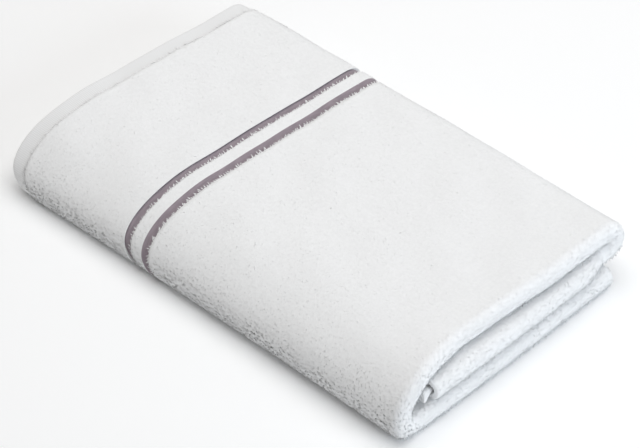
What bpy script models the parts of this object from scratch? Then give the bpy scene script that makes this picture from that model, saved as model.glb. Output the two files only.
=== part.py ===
"""Folded hand towel, modelled in metres with +Z up.

The towel is one terry cloth, 50 cm wide and about 84 cm long, with a woven hem at each
short end and two flat-woven bands near each hem. It is folded twice:

1. Crosswise in thirds. The outer panel keeps its hem in view at the -X end. It turns
   round a roll at the +X end into the inner panel, which turns round a small roll at
   the -X end into the middle panel. The three panels make one bundle.
2. Lengthwise in thirds. The bundle lies along the underside, turns up round the near
   roll (-Y), crosses the top, turns down round the far roll (+Y) and comes back inside.

The stack is nine layers of cloth high. X runs along it, Y across it. The origin is the
middle of the stack's box, on the surface that it lies on.
"""
import math

import bmesh
import bpy
import numpy as np
from mathutils import Vector

MM = 0.001

# The stack as it lies, in millimetres.
STACK_LENGTH = 284.0          # hem edge to folded end, along the middle of the top
STACK_WIDTH = 178.0           # near side to far side
HEIGHT_HEM_END = 38.0
HEIGHT_FOLDED_END = 39.4
SAG = 3.3                     # how much lower the stack is half way along
NEAR_BULGE_HEM_END = 3.6      # the near side stands out this much at the hem end
NEAR_DIP = 1.8                # and is this much hollow half way along
FAR_BOW = 2.2                 # the far side's bow half way along
FAR_DRAW_IN = 1.8             # the far corner of the hem end is drawn in
DRAW_IN_REACH = 62.0          # over this length from the hem

# The near roll's section: a broad soft shoulder over a tighter foot.
SHOULDER_HEM_END = 68.0       # width of the shoulder
SHOULDER_FOLDED_END = 41.0
SHOULDER_POWER = 1.9          # 2 is an ellipse
NOSE_HEM_END = 9.5            # height of the outermost point
NOSE_FOLDED_END = 12.8
FOOT_HEM_END = 7.0            # how far in from the nose the cloth meets the surface
FOOT_FOLDED_END = 17.0
FOOT_POWER = 2.8
INNER_FOLD_RADIUS = 2.0       # the bundle's inner face, where it folds inside the roll
INNER_FOLD_PLAY = 1.5         # room between it and the layers outside

# The free long edges of the bundle.
BOTTOM_EDGE_INSET = 14.5      # from the far side, on the underside
MIDDLE_EDGE_INSET = 28.0      # from the near side, inside the roll
HEM_CORNER_REACH = 7.5        # the inner hem's corner stands out of the middle edge
UNDER_CORNER = 0.35           # and this share of that out of the underside's edge

# The bundle isn't folded quite square.
SKEW_HEM_END = 0.08           # slope of the lines across the cloth
SKEW_FOLDED_END = 0.03
UNDER_SHIFT_HEM_END = 18.0    # the underside's hem lies this much inside the top's
UNDER_SHIFT_FOLDED_END = 0.6

# At the folded end, the top bundle's fold lies behind the two below it.
BEHIND_PLACES = (0.0, 0.1, 0.3, 0.45, 0.65, 0.9, 1.0)    # shares of the width, from the near side
BEHIND = (2.6, 3.4, 8.3, 7.6, 5.2, 5.2, 2.5)             # how far behind it lies there
BEHIND_FADE = 0.17            # share of the way back inside over which it comes level
NEAR_BEHIND = 2.0             # all three bundles' folds lie back towards the near side
NEAR_BEHIND_REACH = 107.0     # within this width
HEM_CORNER_OUT = 2.5          # the inner hem's corner stands this much out of the fold
HEM_CORNER_SHARE = 0.06       # over this share of the bundle's width

# The cloth.
TERRY = 3.0                   # thickness with its loops pressed, both faces
HEM = 2.2                     # folded double and stitched, without loops
BAND = 1.4                    # flat weave, sunk between the loops
TUCK = 1.8                    # terry pressed in the tightest fold
HEM_WIDTH = 10.0
BAND_WIDTH = 4.4
BAND_CENTRES = (89.4, 102.4)  # from each hem's edge
STEP = 0.7                    # how quickly the thickness changes at a border

# The crosswise folds.
FOLD_REACH = 4.0              # the +X roll's mid-surface stands out this much
FOLD_CLOTH = 12.8             # length of cloth in it
TUCK_REACH = 4.0              # the same for the small roll at the -X end
TUCK_CLOTH = 9.5
TUCK_INSET = 9.5              # where the small roll begins, from the hem's edge
INNER_HEM_REACH = 1.2         # how far the inner hem reaches into the +X roll
OUTER, MIDDLE, INNER = 1 / 6, 3 / 6, 5 / 6    # the panels' depths in the bundle

# How finely the cloth is cut up.
LONGEST_ROW = 36.0            # along the cloth
FOLD_STEPS = 6
TUCK_STEPS = 6
SECTION_STEPS = (("underside", 7), ("foot", 5), ("shoulder", 9), ("top", 4),
                 ("far roll", 8), ("inside", 7))
CROWDING = 1.5                # the flat parts' columns crowd towards the near side

TOWEL_COLOUR = (0.86, 0.87, 0.88, 1.0)
TOWEL_ROUGHNESS = 0.95

PANEL = STACK_LENGTH - FOLD_REACH - TERRY / 2          # the outer panel's flat length
FOLD_START = PANEL
FOLD_END = FOLD_START + FOLD_CLOTH
TUCK_START = FOLD_END + PANEL - TUCK_INSET
TUCK_END = TUCK_START + TUCK_CLOTH
CLOTH_LENGTH = TUCK_END + PANEL + INNER_HEM_REACH - TUCK_INSET
UNDERSIDE_LAYER = (HEIGHT_HEM_END + HEIGHT_FOLDED_END) / 2 / 18    # its mid-surface height


def along(x, at_hem, at_fold, middle=0.0):
    """A size that goes from one end's value to the other's, with a bulge half way."""
    u = x / STACK_LENGTH
    return at_hem * (1 - u) + at_fold * u + 4 * u * (1 - u) * middle


def draw_in(x):
    """1 at the hem's edge, falling to 0 over DRAW_IN_REACH."""
    return max(0.0, 1 - x / DRAW_IN_REACH) ** 2


def rise(share, power):
    """Height of a superelliptic quarter, 0 to 1, at a share of its width."""
    share = min(max(share, 0.0), 1.0)
    return (1 - (1 - share) ** power) ** (1 / power)


def near_side(x):
    return along(x, -NEAR_BULGE_HEM_END, 0.0, NEAR_DIP)


def far_side(x):
    return along(x, STACK_WIDTH, STACK_WIDTH, FAR_BOW) - FAR_DRAW_IN * draw_in(x)


def stack_height(x):
    return along(x, HEIGHT_HEM_END, HEIGHT_FOLDED_END, -SAG)


def top_height(x, y):
    """Height of the stack's top face over a place."""
    nose = along(x, NOSE_HEM_END, NOSE_FOLDED_END)
    shoulder = along(x, SHOULDER_HEM_END, SHOULDER_FOLDED_END)
    share = (y - near_side(x)) / shoulder
    return nose + (stack_height(x) - nose) * rise(share, SHOULDER_POWER)


def under_bundle_top(x, y):
    """Height of the underside bundle's top face: a third of the stack above it."""
    return top_height(x, max(y, near_side(x) + MIDDLE_EDGE_INSET)) / 3


def level_bottom(bundle_top):
    """The underside bundle's bottom face, so that its lowest layer lies level."""
    return (UNDERSIDE_LAYER - OUTER * bundle_top) / (1 - OUTER)


def roll_inside(x):
    """The innermost point of the near roll's tight inner fold, as (y, z)."""
    thick = under_bundle_top(x, near_side(x))
    return near_side(x) + thick + INNER_FOLD_PLAY, thick + INNER_FOLD_RADIUS


def shoulder_faces(turn, x):
    """The shoulder's outer face, and its inner face one bundle's thickness inside it."""
    near, nose = near_side(x), along(x, NOSE_HEM_END, NOSE_FOLDED_END)
    wide = along(x, SHOULDER_HEM_END, SHOULDER_FOLDED_END)
    high = stack_height(x) - nose
    inwards = math.cos(turn) ** (2 / SHOULDER_POWER)
    upwards = math.sin(turn) ** (2 / SHOULDER_POWER)
    outer = Vector((near + wide * (1 - inwards), nose + high * upwards))
    outward = Vector((-inwards ** (SHOULDER_POWER - 1) / wide, upwards ** (SHOULDER_POWER - 1) / high))
    inner = outer - outward.normalized() * under_bundle_top(x, outer.x)
    inner.x = max(inner.x, roll_inside(x)[0])
    inner.y = max(inner.y, roll_inside(x)[1])
    # Past the middle bundle's edge, the inner face lies on that bundle.
    share = (inner.x - near) / MIDDLE_EDGE_INSET
    share = min(max((share - 0.8) / 0.2, 0.0), 1.0)
    inner.y += (top_height(x, inner.x) * 2 / 3 - inner.y) * share
    return outer, inner


def section_faces(part, v, x, stagger):
    """The bundle's outer and inner face, as (y, z), at share v of a part of the section."""
    near, far, height = near_side(x), far_side(x), stack_height(x)
    bundle = height / 3
    foot = near + along(x, FOOT_HEM_END, FOOT_FOLDED_END)
    shoulder = near + along(x, SHOULDER_HEM_END, SHOULDER_FOLDED_END)
    roll = far - bundle

    if part == "underside":
        edge = far - BOTTOM_EDGE_INSET + stagger * UNDER_CORNER
        y_out = edge + (foot - edge) * v
        y_in = edge + (roll_inside(x)[0] + INNER_FOLD_RADIUS - edge) * v
        z_in = under_bundle_top(x, y_in)
        return (y_out, level_bottom(z_in)), (y_in, z_in)
    if part == "foot":
        turn = math.pi / 2 * v
        nose = along(x, NOSE_HEM_END, NOSE_FOLDED_END)
        y_in, z_in = roll_inside(x)
        ground = level_bottom(z_in - INNER_FOLD_RADIUS)
        y_out = foot - (foot - near) * math.sin(turn) ** (2 / FOOT_POWER)
        z_out = nose - (nose - ground) * math.cos(turn) ** (2 / FOOT_POWER)
        y_in += INNER_FOLD_RADIUS * (1 - math.sin(turn))
        z_in -= INNER_FOLD_RADIUS * math.cos(turn)
        return (y_out, z_out), (y_in, z_in)
    if part == "shoulder":
        return shoulder_faces(math.pi / 2 * v, x)
    if part == "top":
        y = shoulder + (roll - shoulder) * v
        return (y, height), (y, height * 2 / 3)
    if part == "far roll":
        lean = math.pi * v
        y_out = roll + bundle * math.sin(lean)
        return (y_out, height * 2 / 3 + bundle * math.cos(lean)), (roll, height * 2 / 3)
    edge = near + MIDDLE_EDGE_INSET - stagger
    y = roll + (edge - roll) * v
    top = top_height(x, max(y, near + MIDDLE_EDGE_INSET))
    return (y, top / 3), (y, top * 2 / 3)


def crosswise_fold(s):
    """Where a place s along the cloth lies after the first fold: (x, depth in the bundle)."""
    if s <= FOLD_START:
        return s, OUTER
    if s < FOLD_END:
        turn = math.pi * (s - FOLD_START) / FOLD_CLOTH
        return PANEL + FOLD_REACH * math.sin(turn), MIDDLE - (MIDDLE - OUTER) * math.cos(turn)
    if s <= TUCK_START:
        return PANEL - (s - FOLD_END), INNER
    if s < TUCK_END:
        turn = math.pi * (s - TUCK_START) / TUCK_CLOTH
        depth = (INNER + MIDDLE) / 2 + (INNER - MIDDLE) / 2 * math.cos(turn)
        return TUCK_INSET - TUCK_REACH * math.sin(turn), depth
    return TUCK_INSET + (s - TUCK_END), MIDDLE


def fold_behind(part, v, y, level):
    """How far the folded end lies back, for a place at a share of the stack's height."""
    if part == "far roll":
        aloft = 1.0
    elif part == "inside":
        aloft = 0.5 + 0.5 * math.cos(math.pi * min(v / BEHIND_FADE, 1.0))
    else:
        aloft = min(max(1.5 * level - 0.5, 0.0), 1.0)
    behind = aloft * float(np.interp(y / STACK_WIDTH, BEHIND_PLACES, BEHIND))
    return behind + NEAR_BEHIND * max(0.0, 1 - y / NEAR_BEHIND_REACH) ** 2


def lengthwise_fold(s, part, v):
    """The cloth's mid-surface in the finished stack, in millimetres."""
    x, depth = crosswise_fold(s)
    to_corner = max(0.0, s - TUCK_END) / (CLOTH_LENGTH - TUCK_END)
    stagger = HEM_CORNER_REACH * to_corner ** 3
    if part in ("underside", "foot", "shoulder"):
        outer, _ = section_faces(part, v, x, stagger)
        low = 1 - max(outer[1], 0.0) / stack_height(x)
        x += low ** 2 * along(x, UNDER_SHIFT_HEM_END, UNDER_SHIFT_FOLDED_END)
    outer, inner = section_faces(part, v, x, stagger)
    y = outer[0] * (1 - depth) + inner[0] * depth
    z = outer[1] * (1 - depth) + inner[1] * depth
    skew = along(x, SKEW_HEM_END, SKEW_FOLDED_END) * (y - STACK_WIDTH / 2)
    corner_out = 0.0
    if part == "inside":
        out = max((v - 1) / HEM_CORNER_SHARE + 1, 0.0)
        corner_out = HEM_CORNER_OUT * to_corner ** 3 * out * out * (3 - 2 * out)
    behind = fold_behind(part, v, y, outer[1] / stack_height(x)) * (x / STACK_LENGTH) ** 3
    return Vector((x + skew + corner_out - behind, y, z))


def woven_strips():
    """The flat strips across the cloth at both ends, as (start, end, thickness)."""
    strips = [(0.0, HEM_WIDTH, HEM)]
    for centre in BAND_CENTRES:
        strips.append((centre - BAND_WIDTH / 2, centre + BAND_WIDTH / 2, BAND))
    mirrored = [(CLOTH_LENGTH - end, CLOTH_LENGTH - start, thick) for start, end, thick in strips]
    return strips + mirrored


def thickness(s):
    for start, end, thick in woven_strips():
        if start <= s <= end:
            return thick
    return TUCK if TUCK_START < s < TUCK_END else TERRY


def rows():
    """Places along the cloth where it needs a row of points."""
    places = {0.0, CLOTH_LENGTH, FOLD_START, FOLD_END, TUCK_START, TUCK_END}
    for i in range(1, FOLD_STEPS):
        places.add(FOLD_START + FOLD_CLOTH * i / FOLD_STEPS)
    for i in range(1, TUCK_STEPS):
        places.add(TUCK_START + TUCK_CLOTH * i / TUCK_STEPS)
    for start, end, _ in woven_strips():
        for border, outwards in ((start, -STEP), (end, STEP)):
            if 0 < border < CLOTH_LENGTH:
                places.update((border, border + outwards))
    places = sorted(places)
    filled = [places[0]]
    for place in places[1:]:
        gap = place - filled[-1]
        parts = math.ceil(gap / LONGEST_ROW)
        first = filled[-1]
        filled.extend(first + gap * i / parts for i in range(1, parts + 1))
    return filled


def columns():
    """Places round the section, as (part, share), each part but the first without its start."""
    places = [(SECTION_STEPS[0][0], 0.0)]
    for part, steps in SECTION_STEPS:
        crowding = CROWDING if part in ("underside", "inside") else 1
        places.extend((part, 1 - (1 - i / steps) ** crowding) for i in range(1, steps + 1))
    return places


def fold_cloth(mesh, row_places, column_places):
    """Lay a flat grid out as cloth, and fold it both ways."""
    bm = bmesh.new()
    across, down = len(column_places) - 1, len(row_places) - 1
    bmesh.ops.create_grid(bm, x_segments=down, y_segments=across, size=1.0)
    weights = {}
    bm.verts.index_update()
    for vert in bm.verts:
        s = row_places[round((vert.co.x + 1) / 2 * down)]
        part, v = column_places[round((vert.co.y + 1) / 2 * across)]
        vert.co = lengthwise_fold(s, part, v) * MM
        weights[vert.index] = thickness(s) / TERRY
    bm.to_mesh(mesh)
    bm.free()
    return weights


def cotton():
    material = bpy.data.materials.new("terry cotton")
    material.use_nodes = True
    shader = material.node_tree.nodes["Principled BSDF"]
    shader.inputs["Base Color"].default_value = TOWEL_COLOUR
    shader.inputs["Roughness"].default_value = TOWEL_ROUGHNESS
    shader.inputs["Metallic"].default_value = 0.0
    return material


def settle(towel):
    """Put the middle of the towel's box over the origin, with its underside at zero."""
    bpy.context.view_layer.update()
    mesh = towel.evaluated_get(bpy.context.evaluated_depsgraph_get()).data
    low = Vector(min(v.co[axis] for v in mesh.vertices) for axis in range(3))
    high = Vector(max(v.co[axis] for v in mesh.vertices) for axis in range(3))
    towel.location = (-(low.x + high.x) / 2, -(low.y + high.y) / 2, -low.z)


def make_towel(collection):
    mesh = bpy.data.meshes.new("towel")
    weights = fold_cloth(mesh, rows(), columns())
    towel = bpy.data.objects.new("towel", mesh)
    collection.objects.link(towel)
    mesh.materials.append(cotton())
    group = towel.vertex_groups.new(name="thickness")
    for index, weight in weights.items():
        group.add([index], weight, "REPLACE")
    body = towel.modifiers.new("cloth thickness", "SOLIDIFY")
    body.thickness = TERRY * MM
    body.offset = 0.0
    body.use_even_offset = True
    body.vertex_group = group.name
    mesh.shade_smooth()
    settle(towel)
    return towel


def main():
    for old in list(bpy.data.objects):
        bpy.data.objects.remove(old)
    collection = bpy.data.collections.new("hand towel")
    bpy.context.scene.collection.children.link(collection)
    make_towel(collection)


main()
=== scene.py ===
"""Folded terry hand towel: its cloth, its pile of cotton loops, its hem stitching and a studio.

The file is laid out as an add-on and is run as a script. All lengths are in metres, +Z is up.
The towel is one cloth folded crosswise in thirds and then lengthwise in thirds. A place on the
cloth is (s, t): s runs along it from the hem that shows, and t counts round the finished stack's
section, from 0 at the underside's free edge to 6 at the edge inside the near roll.
"""
import math

import bpy
import numpy as np
from bpy.props import FloatProperty, FloatVectorProperty, PointerProperty
from mathutils import Matrix, Vector


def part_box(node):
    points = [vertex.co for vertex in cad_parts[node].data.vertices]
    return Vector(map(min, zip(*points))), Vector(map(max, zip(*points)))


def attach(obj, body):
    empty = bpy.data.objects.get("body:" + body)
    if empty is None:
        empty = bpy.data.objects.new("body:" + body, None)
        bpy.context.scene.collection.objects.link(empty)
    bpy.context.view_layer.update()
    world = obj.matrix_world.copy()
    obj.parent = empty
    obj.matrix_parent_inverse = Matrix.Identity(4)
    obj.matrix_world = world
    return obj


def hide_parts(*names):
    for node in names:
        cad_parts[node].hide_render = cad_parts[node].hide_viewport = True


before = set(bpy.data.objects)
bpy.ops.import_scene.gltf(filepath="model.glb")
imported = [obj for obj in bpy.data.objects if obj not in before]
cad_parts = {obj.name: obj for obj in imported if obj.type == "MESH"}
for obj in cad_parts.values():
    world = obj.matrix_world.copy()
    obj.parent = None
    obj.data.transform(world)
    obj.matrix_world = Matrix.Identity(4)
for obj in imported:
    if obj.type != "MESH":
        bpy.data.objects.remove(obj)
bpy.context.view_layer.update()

bl_info = {
    "name": "Folded terry hand towel",
    "version": (1, 0, 0),
    "blender": (4, 5, 0),
    "location": "3D View > Sidebar > Towel",
    "description": "Builds a folded terry hand towel with its pile, hems, bands and stitching",
    "category": "Add Mesh",
}

MM = 0.001
NODE = "towel"
BODY = "root"

# The folded stack. X runs from the hem end to the folded end, Y from the near to the far side.
STACK_LENGTH = 284.0 * MM
STACK_WIDTH = 178.0 * MM
HEIGHT_HEM_END = 38.0 * MM
HEIGHT_FOLDED_END = 39.4 * MM
STACK_HEIGHT = (HEIGHT_HEM_END + HEIGHT_FOLDED_END) / 2
SAG = 3.3 * MM                    # how much lower the stack is half way along
NEAR_BULGE_HEM_END = 3.6 * MM     # the near side stands out this much at the hem end
NEAR_DIP = 1.8 * MM               # and is this much hollow half way along
FAR_BOW = 2.2 * MM                # the far side stands out this much half way along
FAR_DRAW_IN = 1.8 * MM            # and draws in by this at the hem end
FAR_DRAW_IN_REACH = 62.0 * MM

# The near roll's section: a broad soft shoulder over a tighter foot.
SHOULDER_HEM_END = 68.0 * MM
SHOULDER_FOLDED_END = 41.0 * MM
SHOULDER_POWER = 1.9              # 2 is an ellipse
NOSE_HEM_END = 9.5 * MM           # height of the outermost point
NOSE_FOLDED_END = 12.8 * MM
FOOT_HEM_END = 7.0 * MM           # how far in from the nose the cloth meets the surface
FOOT_FOLDED_END = 17.0 * MM
FOOT_POWER = 2.8
SETTLED_FROM = 0.8                # share of the middle edge's inset where the fold settles on it
INNER_FOLD_RADIUS = 2.0 * MM      # the tight fold inside the roll
INNER_FOLD_PLAY = 1.5 * MM

# The bundle's free long edges, and how far out of square it is folded.
BOTTOM_EDGE_INSET = 14.5 * MM     # the underside's free edge lies this far in from the far side
MIDDLE_EDGE_INSET = 28.0 * MM     # and the other one this far in from the near side
HEM_CORNER_REACH = 7.5 * MM       # at the inner hem, that one comes out by this much
UNDER_CORNER = 0.35               # and the underside's by this share of it
SKEW_HEM_END = 0.08               # slope of the end's edge against the stack's width
SKEW_FOLDED_END = 0.03
UNDER_SHIFT_HEM_END = 18.0 * MM   # the underside lies this much farther towards +X
UNDER_SHIFT_FOLDED_END = 0.6 * MM
HEM_CORNER_OUT = 2.5 * MM         # the inner hem's corner stands out of the folded end by this
HEM_CORNER_SHARE = 0.06           # over this share of the way round the inside

# At the folded end, the top bundle's fold lies behind the two below it.
BEHIND_PLACES = (0.0, 0.1, 0.3, 0.45, 0.65, 0.9, 1.0)    # shares of the width, from the near side
BEHIND = (2.6, 3.4, 8.3, 7.6, 5.2, 5.2, 2.5)             # how far behind it lies there, in mm
BEHIND_FADE = 0.17                # it fades over this share of the way back inside
NEAR_BEHIND = 2.0 * MM            # towards the near side, the whole end draws in by this
NEAR_BEHIND_REACH = 107.0 * MM

# The crosswise folds.
TERRY = 3.0 * MM                  # the solid's thickness, with both faces' loops pressed
FOLD_REACH = 4.0 * MM             # at the folded end the cloth bulges out by this
FOLD_CLOTH = 12.8 * MM            # and takes up this much of its length
TUCK_REACH = 4.0 * MM             # the same for the fold tucked in at the hem end
TUCK_CLOTH = 9.5 * MM
TUCK_INSET = 9.5 * MM             # which lies this far in from the stack's end
INNER_HEM_REACH = 1.2 * MM        # the inner hem's edge lies this far past the other panels' bend
OUTER, MIDDLE, INNER = 1 / 6, 3 / 6, 5 / 6    # the panels' depths in the bundle

PANEL = STACK_LENGTH - FOLD_REACH - TERRY / 2
FOLD_START = PANEL
FOLD_END = FOLD_START + FOLD_CLOTH
TUCK_START = FOLD_END + PANEL - TUCK_INSET
TUCK_END = TUCK_START + TUCK_CLOTH
CLOTH_LENGTH = TUCK_END + PANEL + INNER_HEM_REACH - TUCK_INSET
LAYERS = 9
UNDERSIDE_LAYER = STACK_HEIGHT / (2 * LAYERS)    # height of the lowest layer's middle

# Places t round the section where one part ends and the next begins.
EDGE_BELOW, FOOT, SHOULDER, TOP, FAR_ROLL, INSIDE, EDGE_INSIDE = range(7)


def settings(group):
    """One of the scene's groups of properties."""
    return getattr(bpy.context.scene, "towel_" + group)


def linear(code):
    """A linear colour from an sRGB hex code such as "#E8E9EB"."""
    channels = [int(code[i:i + 2], 16) / 255 for i in (1, 3, 5)]
    return [c / 12.92 if c <= 0.04045 else ((c + 0.055) / 1.055) ** 2.4 for c in channels]


# ---- the folded cloth's shape

def along(x, at_hem, at_fold, middle=0.0):
    """A size that goes from one end's value to the other's, with a bulge half way."""
    u = x / STACK_LENGTH
    return at_hem * (1 - u) + at_fold * u + 4 * u * (1 - u) * middle


def near_side(x):
    return along(x, -NEAR_BULGE_HEM_END, 0.0, NEAR_DIP)


def far_side(x):
    draw_in = np.maximum(0.0, 1 - x / FAR_DRAW_IN_REACH) ** 2
    return along(x, STACK_WIDTH, STACK_WIDTH, FAR_BOW) - FAR_DRAW_IN * draw_in


def stack_height(x):
    return along(x, HEIGHT_HEM_END, HEIGHT_FOLDED_END, -SAG)


def nose_height(x):
    return along(x, NOSE_HEM_END, NOSE_FOLDED_END)


def shoulder_width(x):
    return along(x, SHOULDER_HEM_END, SHOULDER_FOLDED_END)


def top_height(x, y):
    """Height of the stack's top face over a place."""
    share = np.clip((y - near_side(x)) / shoulder_width(x), 0, 1)
    rise = (1 - (1 - share) ** SHOULDER_POWER) ** (1 / SHOULDER_POWER)
    return nose_height(x) + (stack_height(x) - nose_height(x)) * rise


def under_bundle_top(x, y):
    """Height of the underside bundle's top face: a third of the stack above it."""
    return top_height(x, np.maximum(y, near_side(x) + MIDDLE_EDGE_INSET)) / 3


def level_bottom(bundle_top):
    """The underside bundle's bottom face, so that its lowest layer lies level."""
    return (UNDERSIDE_LAYER - OUTER * bundle_top) / (1 - OUTER)


def roll_inside(x):
    """The innermost point of the near roll's tight inner fold, as (y, z)."""
    thick = under_bundle_top(x, near_side(x))
    return near_side(x) + thick + INNER_FOLD_PLAY, thick + INNER_FOLD_RADIUS


# Each part of the section gives the bundle's outer and inner face, as (y, z), at a share v of the
# way over it. The free long edges come out by the stagger.

def underside(x, v, stagger):
    edge = far_side(x) - BOTTOM_EDGE_INSET + stagger * UNDER_CORNER
    foot = near_side(x) + along(x, FOOT_HEM_END, FOOT_FOLDED_END)
    y_in = edge + (roll_inside(x)[0] + INNER_FOLD_RADIUS - edge) * v
    z_in = under_bundle_top(x, y_in)
    return (edge + (foot - edge) * v, level_bottom(z_in)), (y_in, z_in)


def foot(x, v, stagger):
    sine, cosine = np.sin(np.pi / 2 * v), np.cos(np.pi / 2 * v).clip(0)
    y_in, z_in = roll_inside(x)
    ground = level_bottom(z_in - INNER_FOLD_RADIUS)
    reach = along(x, FOOT_HEM_END, FOOT_FOLDED_END)
    y_out = near_side(x) + reach * (1 - sine ** (2 / FOOT_POWER))
    z_out = nose_height(x) - (nose_height(x) - ground) * cosine ** (2 / FOOT_POWER)
    return (y_out, z_out), (y_in + INNER_FOLD_RADIUS * (1 - sine), z_in - INNER_FOLD_RADIUS * cosine)


def shoulder(x, v, stagger):
    """The outer face, and the inner face one bundle's thickness inside it."""
    wide, high = shoulder_width(x), stack_height(x) - nose_height(x)
    inwards = np.cos(np.pi / 2 * v).clip(0) ** (2 / SHOULDER_POWER)
    upwards = np.sin(np.pi / 2 * v) ** (2 / SHOULDER_POWER)
    y_out = near_side(x) + wide * (1 - inwards)
    z_out = nose_height(x) + high * upwards
    out_y = -inwards ** (SHOULDER_POWER - 1) / wide
    out_z = upwards ** (SHOULDER_POWER - 1) / high
    thick = under_bundle_top(x, y_out) / np.hypot(out_y, out_z)
    tight_y, tight_z = roll_inside(x)
    y_in = np.maximum(y_out - out_y * thick, tight_y)
    z_in = np.maximum(z_out - out_z * thick, tight_z)
    # Past the middle bundle's edge, the inner face lies on that bundle.
    inset = (y_in - near_side(x)) / MIDDLE_EDGE_INSET
    settled = np.clip((inset - SETTLED_FROM) / (1 - SETTLED_FROM), 0, 1)
    return (y_out, z_out), (y_in, z_in + (top_height(x, y_in) * 2 / 3 - z_in) * settled)


def top(x, v, stagger):
    start = near_side(x) + shoulder_width(x)
    y = start + (far_side(x) - stack_height(x) / 3 - start) * v
    return (y, stack_height(x)), (y, stack_height(x) * 2 / 3)


def far_roll(x, v, stagger):
    bundle = stack_height(x) / 3
    middle = far_side(x) - bundle
    y_out, z_out = middle + bundle * np.sin(np.pi * v), bundle * (2 + np.cos(np.pi * v))
    return (y_out, z_out), (middle, bundle * 2)


def inside(x, v, stagger):
    start = far_side(x) - stack_height(x) / 3
    y = start + (near_side(x) + MIDDLE_EDGE_INSET - stagger - start) * v
    over = top_height(x, np.maximum(y, near_side(x) + MIDDLE_EDGE_INSET))
    return (y, over / 3), (y, over * 2 / 3)


SECTION = (underside, foot, shoulder, top, far_roll, inside)    # one part for each step of t


def section_faces(x, t, stagger):
    """The bundle's outer and inner face at a place round the section, each as (y, z)."""
    outer, inner = np.empty((2, x.size)), np.empty((2, x.size))
    part = np.clip(t.astype(int), 0, len(SECTION) - 1)
    for number, shape in enumerate(SECTION):
        here = part == number
        faces = shape(x[here], (t - part)[here], stagger[here])
        outer[:, here], inner[:, here] = faces
    return outer, inner


def crosswise_fold(s):
    """Where a place s along the cloth lies after the first fold: (x, depth in the bundle)."""
    fold = np.pi * np.clip((s - FOLD_START) / FOLD_CLOTH, 0, 1)
    tuck = np.pi * np.clip((s - TUCK_START) / TUCK_CLOTH, 0, 1)
    stages = [s <= FOLD_START, s < FOLD_END, s <= TUCK_START, s < TUCK_END]
    x = np.select(stages, [s, PANEL + FOLD_REACH * np.sin(fold), PANEL - (s - FOLD_END),
                           TUCK_INSET - TUCK_REACH * np.sin(tuck)], TUCK_INSET + (s - TUCK_END))
    turned = (INNER + MIDDLE) / 2 + (INNER - MIDDLE) / 2 * np.cos(tuck)
    depth = np.select(stages, [OUTER, MIDDLE - (MIDDLE - OUTER) * np.cos(fold), INNER, turned], MIDDLE)
    return x, depth


def fold_behind(t, y, level):
    """How far behind the foremost fold a place at the folded end lies, by its share of the height."""
    aloft = np.clip(1.5 * level - 0.5, 0, 1)    # 0 on the underside's bundle, 1 on top
    fading = 0.5 + 0.5 * np.cos(np.pi * np.clip((t - INSIDE) / BEHIND_FADE, 0, 1))
    aloft = np.select([t < FAR_ROLL, t < INSIDE], [aloft, 1.0], fading)
    behind = MM * aloft * np.interp(y / STACK_WIDTH, BEHIND_PLACES, BEHIND)
    return behind + NEAR_BEHIND * np.maximum(0.0, 1 - y / NEAR_BEHIND_REACH) ** 2


def lengthwise_fold(s, t):
    """The cloth's mid-surface in the finished stack, one row for each place."""
    x, depth = crosswise_fold(s)
    to_corner = np.maximum(0.0, s - TUCK_END) / (CLOTH_LENGTH - TUCK_END)
    stagger = HEM_CORNER_REACH * to_corner ** 3
    outer, _ = section_faces(x, t, stagger)
    low = np.where(t < TOP, 1 - np.maximum(outer[1], 0) / stack_height(x), 0)
    x = x + low ** 2 * along(x, UNDER_SHIFT_HEM_END, UNDER_SHIFT_FOLDED_END)
    outer, inner = section_faces(x, t, stagger)
    y, z = outer * (1 - depth) + inner * depth
    skew = along(x, SKEW_HEM_END, SKEW_FOLDED_END) * (y - STACK_WIDTH / 2)
    behind = fold_behind(t, y, outer[1] / stack_height(x)) * (x / STACK_LENGTH) ** 3
    out = np.clip((t - EDGE_INSIDE) / HEM_CORNER_SHARE + 1, 0, 1)
    corner = HEM_CORNER_OUT * to_corner ** 3 * out * out * (3 - 2 * out)
    return np.stack([x + skew + corner - behind, y, z], axis=-1)


def row_origin():
    """Where the fold's own origin lies in the row frame: its box fits the packed solid's box."""
    s, t = np.meshgrid(np.linspace(0, FOLD_END, 120), np.linspace(0, EDGE_INSIDE, 240))
    middle = lengthwise_fold(s.ravel(), t.ravel())
    low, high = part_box(NODE)
    x_y = [(low[i] + high[i]) / 2 - (middle[:, i].min() + middle[:, i].max()) / 2 for i in (0, 1)]
    return np.array([*x_y, low[2] + TERRY / 2 - middle[:, 2].min()])


ROW_ORIGIN = row_origin()
WAVES = 7
SHORTER = 0.82                    # each wave is this share of the last one's length
FOLD_SEED, NAP_SEED, PILE_SEED, STITCH_SEED = 11, 5, 2024, 77


def unit(vectors):
    """The same directions, each with a length of 1."""
    return vectors / np.linalg.norm(vectors, axis=-1, keepdims=True)


def soft_waves(places, longest, seed):
    """A smooth uneven field from -1 to 1: a few sine waves in random directions."""
    rng = np.random.default_rng(seed)
    total = np.zeros(len(places))
    for number in range(WAVES):
        direction = unit(rng.normal(size=places.shape[1]))
        length = longest * SHORTER ** number
        total += np.sin(places @ direction * (2 * np.pi / length) + rng.uniform(0, 2 * np.pi))
    return total / math.sqrt(WAVES * 2)


def folded(s, t):
    """The mid-surface with the soft unevenness of a towel folded by hand, in the row frame."""
    s, t = np.broadcast_arrays(np.asarray(s, float), np.asarray(t, float))
    points = lengthwise_fold(s.ravel(), t.ravel())
    cloth = settings("cloth")
    aloft = np.clip(points[:, 2] / STACK_HEIGHT, 0, 1)
    for axis, amount in ((0, cloth.wander), (1, cloth.wander), (2, cloth.swell)):
        waves = soft_waves(points[:, :2], cloth.swell_length, seed=FOLD_SEED + axis)
        points[:, axis] += amount * aloft * waves
    points = points + ROW_ORIGIN
    return points.reshape(s.shape + (3,))


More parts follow.
